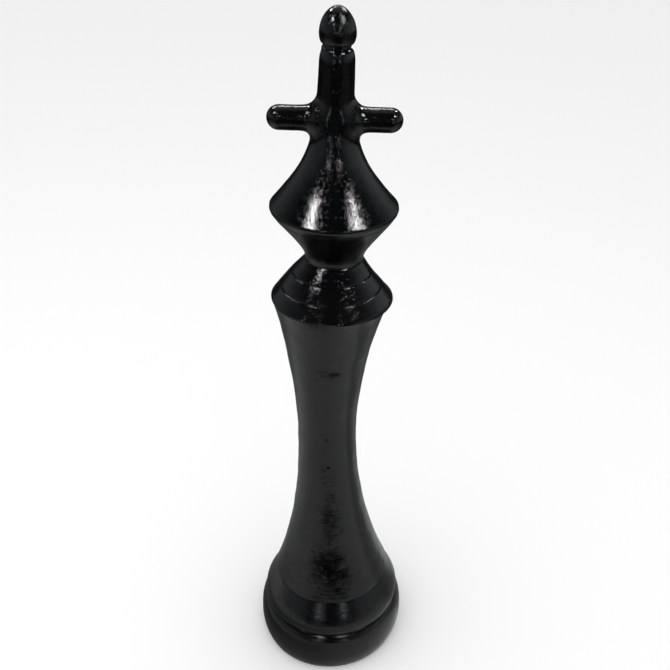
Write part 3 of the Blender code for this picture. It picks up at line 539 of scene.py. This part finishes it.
column_dents = [
    (on_column(2, 0.647), 0.012, 0.006, 0.0011),
    (on_column(-8, 0.650), 0.008, 0.004, 0.0008),
    (on_column(13, 0.649), 0.009, 0.003, 0.0009),
    (on_column(2, 0.640), 0.003, 0.009, 0.0009),
    (on_column(-12, 0.630), 0.003, 0.004, 0.0005),
    (on_column(-5, 0.590), 0.002, 0.003, 0.0004),
    (on_column(-15, 0.495), 0.003, 0.003, 0.0004),
    (on_column(-9, 0.438), 0.006, 0.006, 0.0008),
    (on_column(-2, 0.350), 0.005, 0.045, 0.0007),
    (on_column(-4, 0.245), 0.022, 0.030, 0.0014),
    (on_column(12, 0.215), 0.010, 0.010, 0.0008),
    (on_column(8, 0.185), 0.008, 0.008, 0.0007),
]


def column_free(places):
    """1 all over the column, inside and outside."""
    return np.ones(len(places))


uneven(column, swell=0.00085, ripple=0.00020, free=column_free, dents=column_dents)
# Wrinkled spots in the column's paint, each with its reflection painted dark.
column_patches = [
    (on_column(-3, 0.222), 0.044, 0.062, 0.0006, 1.0),
    (on_column(-4, 0.320), 0.020, 0.085, 0.0004, 0.7),
    (on_column(1, 0.647), 0.015, 0.009, 0.0010, 1.0),
    (on_column(-9, 0.438), 0.006, 0.004, 0.0010, 1.0),
    (on_column(-12, 0.500), 0.004, 0.006, 0.0008, 0.6),
    (on_column(14, 0.205), 0.014, 0.020, 0.0006, 0.8),
]
column_paint = gloss_paint("column_paint", peel=0.00014, brush=0.00032, patches=column_patches)
dress(column, column_paint, "body", "black_gloss_paint", "column_front", "column_rear")

# ==== inside the column ===========================================================================
# Raw glass-fibre strips back the two seams. Plywood plates key the column to the bead below and hold
# the socket tube above.


def laminate_finish():
    finish, shader, place = new_finish("raw_glass_fibre")
    strands = place.node("TexVoronoi", {"feature": "DISTANCE_TO_EDGE"},
                         {"Vector": stretched(place, 1.0, 1.0, 0.35), "Scale": 240.0}, "Distance")
    fibres = grain(stretched(place, 300.0, 300.0, 1400.0), 1.0, 3.0, 0.6, 0.8)
    resin = grain(place, 40.0, 4.0).between(0.35, 0.7)
    colour = blended(resin, (0.46, 0.47, 0.30, 1.0), (0.30, 0.33, 0.20, 1.0))
    colour = blended(fibres.between(0.55, 0.75) * 0.6, colour, (0.68, 0.70, 0.58, 1.0))
    plug(shader, Base_Color=colour, Roughness=0.34 + fibres * 0.35,
         Normal=bumped(fibres * 0.0003 + strands.between(0.0, 0.3) * 0.0002))
    return finish


coat(laminate_finish(), "seam_strip_left", "seam_strip_right")
coat(plywood, "foot_disc", "collar_bulkhead")
coat(grey_plastic, "socket_tube")

# ==== collar ======================================================================================
# A stepped moulding of three bands that lean in towards the neck. Its skirt goes down into the
# column's mouth and its top is the face that the lifted head comes down on.
collar_low, collar_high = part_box("collar_shell")
BANDS = 3
BAND_RUN = 0.0151
BAND_RISE = 0.0204
STEP_RISE = 0.0024
LEDGE = 0.0020
RIM_EDGE = 0.003
NECK_RADIUS = 0.0450
collar_foot = column_top + FIT
collar_radius = collar_high.x
cone_low, cone_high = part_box("neck_cone")
socket_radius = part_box("socket_tube")[1].x
collar_outside = []
foot = (collar_radius, collar_foot + RIM_EDGE)
for band in range(BANDS):
    top = (foot[0] - BAND_RUN, foot[1] + BAND_RISE)
    collar_outside += [foot, top]
    foot = (top[0] - LEDGE, top[1] + STEP_RISE)
    if band < BANDS - 1:
        collar_outside.append((foot[0], top[1]))
collar_outside.append((NECK_RADIUS, collar_high.z))
collar_mouth = socket_radius + 2 * FIT
skirt_radius = column_radius(collar_low.z) - WALL - 0.0020
collar_outline = [(collar_mouth, collar_high.z)] + collar_outside[::-1]
collar_outline += [(collar_radius - 0.0006, collar_foot), (skirt_radius, collar_foot),
                   (skirt_radius, collar_low.z), (skirt_radius - THIN_WALL, collar_low.z),
                   (skirt_radius - THIN_WALL, collar_foot),
                   (collar_radius - 0.0085, collar_foot + THIN_WALL),
                   (NECK_RADIUS - 0.004, collar_high.z - 0.011),
                   (NECK_RADIUS - 0.004, collar_high.z - THIN_WALL),
                   (collar_mouth, collar_high.z - THIN_WALL)]
collar = turned("collar_skin", spread(soften(collar_outline, 0.0004), 0.0020))


def collar_free(places):
    """1 on the bands, 0 on the mating top, the mouth and the skirt."""
    out = np.hypot(places[:, 0], places[:, 1])
    above = np.clip((places[:, 2] - collar_foot) / 0.002, 0, 1)
    return np.clip((out - NECK_RADIUS) / 0.003, 0, 1) * above


uneven(collar, swell=0.00040, ripple=0.00010, free=collar_free)
collar_paint = gloss_paint("collar_paint", peel=0.00018, pits=0.00008)
dress(collar, collar_paint, "body", "black_gloss_paint", "collar_shell")

# ==== neck cone, spigot and index pin =============================================================
# The inverted cone under the bell. A plastic spigot drops from it into the socket tube, and a steel
# pin across the spigot sits in the socket's two notches so that the cross stays square.
SLOPE_WALL = 0.0065
cone_top = cone_high.z
lip_inner = cone_high.x
cone_side = curve((lip_inner, cone_top), (0.0620, cone_low.z + 0.0369),
                  (NECK_RADIUS, cone_low.z + 0.0177), (NECK_RADIUS, cone_low.z), 30)
spigot_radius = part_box("head_spigot")[1].x
cone_floor = cone_low.z + THIN_WALL
cone_inside = [(radius - SLOPE_WALL, level) for radius, level in cone_side
               if level > cone_low.z + 2 * THIN_WALL]
spigot_hole = spigot_radius + FIT
cone_outline = cone_side + [(spigot_hole, cone_low.z), (spigot_hole, cone_floor),
                            (NECK_RADIUS - THIN_WALL, cone_floor)] + cone_inside[::-1]
cone = turned("cone_skin", spread(soften(cone_outline, 0.0008), 0.0020))


def cone_free(places):
    """1 on the cone's outer side, 0 on the face that rests on the collar."""
    out = np.hypot(places[:, 0], places[:, 1])
    above = np.clip((places[:, 2] - cone_low.z) / 0.002, 0, 1)
    return np.clip((out - NECK_RADIUS + 0.003) / 0.003, 0, 1) * above


uneven(cone, swell=0.00040, ripple=0.00010, free=cone_free)
dress(cone, gloss_paint("cone_paint", brush=0.00020), "head", "black_gloss_paint", "neck_cone")
coat(plywood, "head_bulkhead", "crown_block")
coat(grey_plastic, "head_spigot")
coat(zinc_steel, "index_pin", "arm_pin", "finial_stud")

# ==== bell and cross ==============================================================================
# The bell with its turned-down lip, the upright that grows out of it and two round-ended arms. The
# joints are filled and faired, so that the paint runs over all of them as one skin.
bell_low, bell_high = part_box("bell_shell")
upright_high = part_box("cross_upright")[1].z
arm_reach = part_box("cross_arm_right")[1].x
arm_level = (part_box("arm_pin")[0].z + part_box("arm_pin")[1].z) / 2
LIP_FALL = 0.0115
CROWN_HEIGHT = 0.1794
CROWN_RADIUS = 0.0263
GROOVE_RADIUS = 0.0200
rim_radius = bell_high.x
rim_level = bell_low.z + LIP_FALL
crown_level = bell_low.z + CROWN_HEIGHT
bell_side = curve((CROWN_RADIUS, crown_level), (0.0285, crown_level - 0.075),
                  (rim_radius - 0.0483, rim_level + 0.058),
                  (rim_radius - 0.0005, rim_level + 0.003), 48)
head_outline = [(0.0, upright_high), (GROOVE_RADIUS, upright_high)]
head_outline += curve((GROOVE_RADIUS, upright_high), (0.0226, upright_high - 0.003),
                      (0.0246, upright_high - 0.010), (0.0249, upright_high - 0.018), 8)[1:]
head_outline += bell_side
head_outline += [(rim_radius, rim_level), (rim_radius - 0.001, rim_level - 0.003),
                 (lip_inner, bell_low.z), (lip_inner - WALL, bell_low.z)]
HOLLOW_END = 0.006
head_outline += [(radius - SLOPE_WALL, level) for radius, level in bell_side[::-3]
                 if rim_level + HOLLOW_END < level < bell_high.z - HOLLOW_END]
head_outline.append((0.0, bell_high.z - HOLLOW_END))
ARM_RADIUS = 0.0178
ARM_STRAIGHT = 0.0398
ARM_ROOT = 0.0230
ARM_ROOT_REACH = 0.028
ARM_CORE_REACH = 0.012
arm_side = [(0.0, arm_reach)]
BEND_STEPS = 16
for step in range(1, BEND_STEPS + 1):
    bend = step * math.pi / 2 / BEND_STEPS
    arm_side.append((ARM_RADIUS * math.sin(bend), arm_reach - ARM_RADIUS * (1 - math.cos(bend))))
arm_side += curve((ARM_RADIUS, arm_reach - ARM_STRAIGHT), (ARM_RADIUS, 0.042),
                  (ARM_RADIUS + 0.001, 0.038), (ARM_ROOT, ARM_ROOT_REACH), 16)
arm_side += [(ARM_ROOT, ARM_CORE_REACH), (0.0, ARM_CORE_REACH)]


def gap_to(outline, across, along):
    """Signed distance of points in a half plane from a closed outline, negative inside."""
    best = np.full(len(across), 1e9)
    inside = np.zeros(len(across), bool)
    for (r0, z0), (r1, z1) in zip(outline, outline[1:] + outline[:1]):
        step_r = r1 - r0
        step_z = z1 - z0
        length = step_r ** 2 + step_z ** 2
        if length < 1e-14:
            continue
        if max(abs(r0), abs(r1)) > 1e-9:
            t = np.clip(((across - r0) * step_r + (along - z0) * step_z) / length, 0, 1)
            best = np.minimum(best, np.hypot(across - r0 - t * step_r, along - z0 - t * step_z))
        if step_z:
            crosses = ((z0 > along) != (z1 > along)) & (across < r0 + (along - z0) * step_r / step_z)
            inside ^= crosses
    return np.where(inside, -best, best)


FAIRING = 0.015
HEAD_VOXEL = 0.0015
HEAD_FIT_ROUNDS = 4
NUDGE = 0.0001
LARGEST_MOVE = 0.001


def head_gap(points):
    """Distance from the faired head: bell and upright as one turned form, and the two arms."""
    x, y, z = points.T
    stem = gap_to(head_outline, np.hypot(x, y), z)
    arms = gap_to(arm_side, np.hypot(y, z - arm_level), np.abs(x))
    mix = np.clip(0.5 + 0.5 * (arms - stem) / FAIRING, 0, 1)
    return arms * (1 - mix) + stem * mix - FAIRING * mix * (1 - mix)


stem = turned("head_stem", spread(head_outline, 0.003, closed=False), 96, closed=False)
cores = [stem]
for side in (1, -1):
    core = turned("arm_core", spread(arm_side, 0.003, closed=False), 48, closed=False)
    lie = Matrix.Rotation(side * math.pi / 2, 4, "Y")
    core.data.transform(Matrix.Translation((0, 0, arm_level)) @ lie)
    cores.append(core)
with bpy.context.temp_override(active_object=stem, selected_editable_objects=cores):
    bpy.ops.object.join()
fuse = stem.modifiers.new("fuse", "REMESH")
fuse.mode = "VOXEL"
fuse.voxel_size = HEAD_VOXEL
graph = bpy.context.evaluated_depsgraph_get()
head_mesh = bpy.data.meshes.new_from_object(stem.evaluated_get(graph))
bpy.data.objects.remove(stem)
places = np.empty(len(head_mesh.vertices) * 3)
head_mesh.vertices.foreach_get("co", places)
places = places.reshape(-1, 3)
for attempt in range(HEAD_FIT_ROUNDS):
    gap = head_gap(places)
    slope = np.stack([(head_gap(places + NUDGE * axis) - gap) / NUDGE for axis in np.eye(3)], axis=1)
    slope /= np.maximum(np.linalg.norm(slope, axis=1), 0.3)[:, None]
    places -= slope * np.clip(gap, -LARGEST_MOVE, LARGEST_MOVE)[:, None]
head_mesh.vertices.foreach_set("co", places.ravel())
head_mesh.update()
head_mesh.shade_smooth()
head = bpy.data.objects.new("head_skin", head_mesh)
bpy.context.scene.collection.objects.link(head)


def head_free(places):
    """1 on the outer side, 0 at the lip's underside, at the groove and inside."""
    out = np.hypot(places[:, 0], places[:, 1])
    low = np.clip((places[:, 2] - bell_low.z) / 0.002, 0, 1)
    top = np.clip((upright_high - places[:, 2]) / 0.003, 0, 1)
    return low * top * ((out > 0.0135) | (np.abs(places[:, 0]) > 0.03))


uneven(head, swell=0.00050, ripple=0.00012, free=head_free)
dress(head, gloss_paint("head_paint", peel=0.00021, pits=0.00012), "head", "black_gloss_paint",
      "bell_shell", "cross_upright", "cross_arm_left", "cross_arm_right")

# ==== finial knob =================================================================================
# The egg-shaped knob, screwed on its stud above a groove. It is a casting in the same gloss black,
# and its top is the roughest part of the paint.
NECK_GROOVE = 0.0057
NECK_HEIGHT = 0.005
SWELL_HEIGHT = 0.014
SQUARENESS = 1.9
BLUNTNESS = 0.56
KNOB_RINGS = 40
knob_low, knob_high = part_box("finial_knob")
knob_radius = knob_high.x
knob_neck = knob_radius - NECK_GROOVE
knob_swell = knob_low.z + NECK_HEIGHT + SWELL_HEIGHT
crown_height = knob_high.z - knob_swell
knob_outline = []
for ring in range(KNOB_RINGS):
    rise = 1 - ring / KNOB_RINGS
    knob_outline.append((knob_radius * (1 - rise ** SQUARENESS) ** BLUNTNESS,
                         knob_swell + crown_height * rise))
for step in range(BEND_STEPS + 1):
    bend = step * math.pi / 2 / BEND_STEPS
    knob_outline.append((knob_neck + (knob_radius - knob_neck) * math.cos(bend),
                         knob_swell - SWELL_HEIGHT * math.sin(bend)))
knob_outline += [(knob_neck, knob_low.z), (0.0, knob_low.z)]
knob_outline = spread(soften(knob_outline, 0.0006, closed=False), 0.0010, closed=False)
knob = turned("knob_skin", knob_outline, 160, closed=False)
uneven(knob, swell=0.00060, ripple=0.00022, free=free_above(knob_low.z, fade=0.004), inwards=0.5)
knob_paint = gloss_paint("knob_paint", peel=0.00030, pits=0.00016)
dress(knob, knob_paint, "head", "black_gloss_paint", "finial_knob")

# ==== studio ======================================================================================
# A plain pale floor in even, soft light. In gloss the floor is a glowing disc instead, a painted
# reflection: dim at the base, bright round the piece and dark further off, with painted shade in front
# and a painted shadow to the left. The room's side walls are pale, and ceiling panels hang in two rows.
FLOOR_REACH = 60.0
corners = [(x * FLOOR_REACH, y * FLOOR_REACH, frame_low.z)
           for x, y in ((-1, -1), (1, -1), (1, 1), (-1, 1))]
floor = new_piece("floor", corners, [(0, 1, 2, 3)])
floor_finish, floor_shader = new_finish("pale_floor")[:2]
plug(floor_shader, Base_Color=(0.88, 0.88, 0.88, 1.0), Roughness=0.9, Specular_IOR_Level=0.1)
floor.data.materials.append(floor_finish)
floor.visible_glossy = False


def glow_finish(name):
    """A material with nothing in it yet, and a wire of its places."""
    finish = bpy.data.materials.new(name)
    finish.use_nodes = True
    finish.node_tree.nodes.clear()
    return finish, Wire(finish.node_tree).node("TexCoord", {}, {}, "Object")


def glow(place, colour, strength=1.0):
    """Make a glow of a colour the whole of a bare material."""
    shine = place.node("Emission", {}, {"Color": colour, "Strength": strength})
    place.node("OutputMaterial", {}, {"Surface": shine}, None)


def only_in_gloss(piece, finish):
    """Give a piece its glow and let nothing but gloss see it."""
    piece.data.materials.append(finish)
    piece.visible_camera = False
    piece.visible_diffuse = False
    piece.visible_transmission = False
    piece.visible_shadow = False


GLOW_RADIUS = 14.0
GLOW_LEVEL = frame_low.z + 0.002
pool = turned("floor_glow", [(0.0, GLOW_LEVEL), (GLOW_RADIUS, GLOW_LEVEL)], 96, closed=False)
pool_finish, spot = glow_finish("floor_glow")
across = spot.node("SeparateXYZ", {}, {"Vector": spot}, "X")
along = spot.node("SeparateXYZ", {}, {"Vector": spot}, "Y")
reach = spot.node("VectorMath", {"operation": "LENGTH"}, {0: spot}, "Value")
# Painted floor reflection by distance: painted shade close to the base, brightest 0.6 m out, dark far
# off.
tones = [(0.0, 0.20), (0.06, 0.34), (0.16, 0.55), (0.28, 0.50), (0.45, 0.30), (0.75, 0.13), (1.0, 0.05)]
stops = [(share, (0.955 * level, level, 0.975 * level)) for share, level in tones]
tone = reach.node("ValToRGB", {"stops": stops}, {"Fac": reach * 0.25}, "Color")
aside = across.maths("ABSOLUTE", across)
# A wedge in front of the piece is nearly cut from the glow: painted shade of a dark figure standing
# there.
figure_shade = (0 - along).between(0.76, 0.94) * (1 - (aside + along * 0.65).between(0.0, 0.35))
behind = along.between(0.1, 0.7)
turn = across.maths("ARCTAN2", across, 0 - along)
# A wavy band off to the right side is dimmed: a painted dark reflection.
wavy = turn + (grain(spot, 2.6) - 0.5) * 0.6
shade_streak = wavy.between(1.42, 1.62) * (1 - wavy.between(1.95, 2.15))
# Near the base the glow is darker on the left and brighter on the right: a painted shadow of the piece.
near = 1 - reach.between(0.25, 0.60)
shadow_sided = near * turn.maths("SINE", turn) * 0.7 + 1
clouds = grain(spot, 5.0, 3.0, 0.6) * 0.5 + 0.75
shade = (1 - figure_shade * 0.92) * (1 - behind * 0.75) * (1 - shade_streak * 0.5) * shadow_sided * clouds
glow(spot, tone.node("VectorMath", {"operation": "SCALE"}, {0: tone, "Scale": shade}))
only_in_gloss(pool, pool_finish)


def hang_light(name, place, size, energy, glossy):
    """A rectangular light that faces straight down, seen only in gloss or only by the rest."""
    lamp = bpy.data.lights.new(name, "AREA")
    lamp.shape = "RECTANGLE"
    lamp.size = size[0]
    lamp.size_y = size[1]
    lamp.energy = energy
    holder = bpy.data.objects.new(name, lamp)
    holder.location = place
    holder.visible_diffuse = not glossy
    holder.visible_glossy = glossy
    bpy.context.scene.collection.objects.link(holder)


for x in (-1.4, 1.4):
    for y, energy in ((-1.1, 34.0), (-4.1, 26.0), (1.6, 40.0)):
        hang_light("ceiling_light", (x, y, 2.9), (0.50, 0.36), energy, True)
hang_light("far_light", (0.0, 1.9, 2.9), (1.5, 0.25), 34.0, True)
hang_light("ceiling_bounce", (0.0, 0.8, 2.95), (2.4, 2.0), 5.0, True)
hang_light("soft_light", (-0.6, -0.8, 3.2), (3.0, 3.0), 26.0, False)

# Two glowing cards far off on either side in front, no lamps and seen only in gloss: they paint
# highlights, mainly on the bead's slope.
card_finish, card_place = glow_finish("card_glow")
glow(card_place, (0.86, 0.94, 1.0, 1.0), 5.0)
CARD_ENDS = ((2.4, -8.2), (3.4, -7.9))
CARD_LEVELS = (0.9, 1.5)
for side in (-1, 1):
    (x0, y0), (x1, y1) = CARD_ENDS
    low, high = CARD_LEVELS
    card = new_piece("highlight_card", [(side * x0, y0, low), (side * x1, y1, low),
                                  (side * x1, y1, high), (side * x0, y0, high)], [(0, 1, 2, 3)])
    only_in_gloss(card, card_finish)

world = bpy.data.worlds.new("room")
bpy.context.scene.world = world
world.use_nodes = True
backdrop = world.node_tree.nodes["Background"]
look = Wire(world.node_tree).node("TexCoord", {}, {}, "Generated")
look_x = look.node("SeparateXYZ", {}, {"Vector": look}, "X")
look_z = look.node("SeparateXYZ", {}, {"Vector": look}, "Z")
to_side = look_x.maths("ABSOLUTE", look_x).between(0.40, 0.95)
wall = to_side * (1 - look_z.between(0.20, 0.62)) * (0.38 + look_x * 0.10)
dim = blended(wall, (0.028, 0.030, 0.034, 1.0), (0.90, 0.97, 1.0, 1.0))
in_gloss = look.node("LightPath", {}, {}, "Is Glossy Ray")
plug(backdrop, Color=blended(in_gloss, (1.0, 1.0, 1.0, 1.0), dim))

# ==== camera ======================================================================================
# Held by a standing person a little above the knob, close to the piece and looking down at it.
# It is turned and rolled a little, and its frame is shifted to stand the piece in the middle.
height = frame_high.z - frame_low.z
lens = bpy.data.cameras.new("camera")
lens.sensor_width = 36.0
lens.lens = 45.67
lens.shift_x = -0.1105
lens.shift_y = -0.0044
lens.clip_end = 200.0
CAMERA_BACK = 0.9822
CAMERA_UP = 1.2016
YAW = 0.1048
PITCH = 0.5659
ROLL = 0.0646
level_ahead = Vector((math.sin(YAW), math.cos(YAW), 0.0))
level_right = Vector((math.cos(YAW), -math.sin(YAW), 0.0))
ahead = level_ahead * math.cos(PITCH) - Vector((0.0, 0.0, 1.0)) * math.sin(PITCH)
upward = level_right.cross(ahead)
right = level_right * math.cos(ROLL) + upward * math.sin(ROLL)
above = upward * math.cos(ROLL) - level_right * math.sin(ROLL)
camera = bpy.data.objects.new("camera", lens)
aim = Matrix((right, above, -ahead)).transposed().to_4x4()
camera.matrix_world = Matrix.Translation((0.0, -CAMERA_BACK * height, CAMERA_UP * height)) @ aim
bpy.context.scene.collection.objects.link(camera)
bpy.context.scene.camera = camera
bpy.context.scene.view_settings.view_transform = "Standard"
